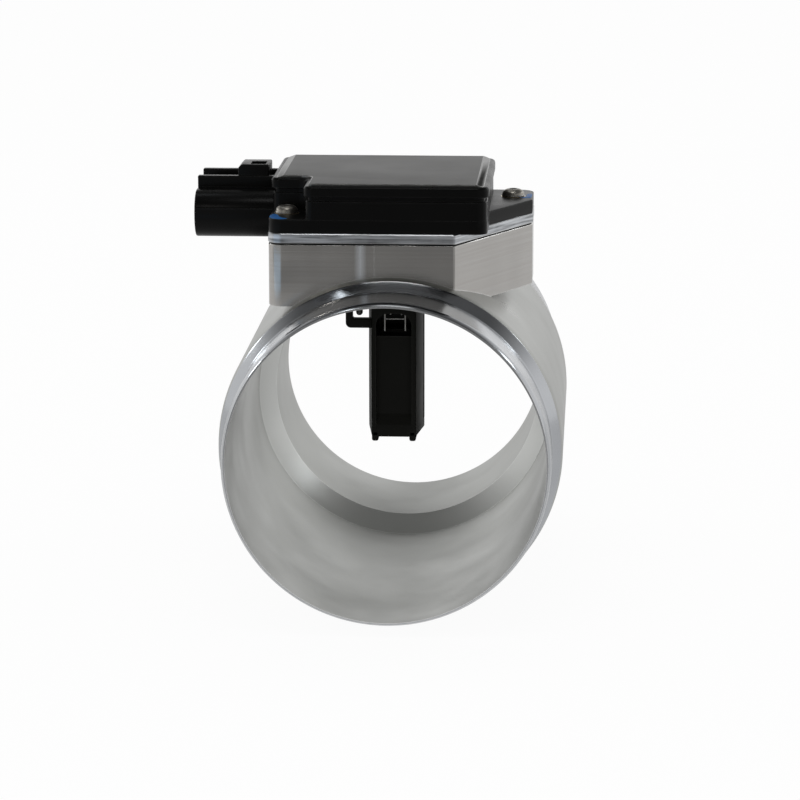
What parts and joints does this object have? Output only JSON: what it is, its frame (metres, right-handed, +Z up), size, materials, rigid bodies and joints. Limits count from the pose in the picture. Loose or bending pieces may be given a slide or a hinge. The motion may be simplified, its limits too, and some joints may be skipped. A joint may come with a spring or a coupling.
{
  "type": "mass airflow sensor",
  "caption": "Mass airflow sensor: machined metal tube with a stepped bore, a milled pad with a black electronics housing and side connector, and a sampling tube hanging in the bore.",
  "frame": {"origin": "on the bore axis, at the middle of the inlet hose spigot", "axes": "+Y along the bore from the inlet to the outlet, +Z up towards the sensor housing, +X to the right seen from the inlet, away from the connector"},
  "size_m": [0.1061, 0.1524, 0.1238],
  "materials": {
    "tube_metal": "turned and milled, satin, bright on the spigots",
    "plate_metal": "milled, satin",
    "gasket_rubber": "matte black",
    "seal_rubber": "matte black",
    "bushing_metal": "turned",
    "screw_steel": "dull passivated",
    "terminal_metal": "tinned",
    "prong_metal": "drawn",
    "wire_metal": "bright drawn",
    "element_coat": "glazed",
    "bead_glass": "dark glazed bead",
    "probe_plastic": "moulded, matte black",
    "housing_plastic": "moulded, satin black",
    "lid_metal": "bead blasted, satin grey",
    "board_laminate": "ceramic board, matte",
    "chip_plastic": "moulded, matte",
    "component_ceramic": "matte",
    "jumper_metal": "bright strip"
  },
  "bodies": {
    "root": {"air_tube": "tube_metal", "adapter_plate": "plate_metal", "base_gasket": "gasket_rubber", "housing_seal": "seal_rubber", "ear_bushings": "bushing_metal", "mounting_screws": "screw_steel", "connector_terminals": "terminal_metal", "sensing_prongs": "prong_metal", "hot_wire": "wire_metal", "cold_wire": "element_coat", "thermistor_bead": "bead_glass", "thermistor_leads": "prong_metal", "sampling_tube": "probe_plastic", "bypass_cover": "probe_plastic", "sensor_housing": "housing_plastic", "lid_seal": "seal_rubber", "lid": "lid_metal", "heat_spreader": "plate_metal", "circuit_board": "board_laminate", "control_chip": "chip_plastic", "board_components": "component_ceramic", "terminal_jumpers": "jumper_metal", "sensor_jumpers": "jumper_metal"}
  },
  "joints": []
}
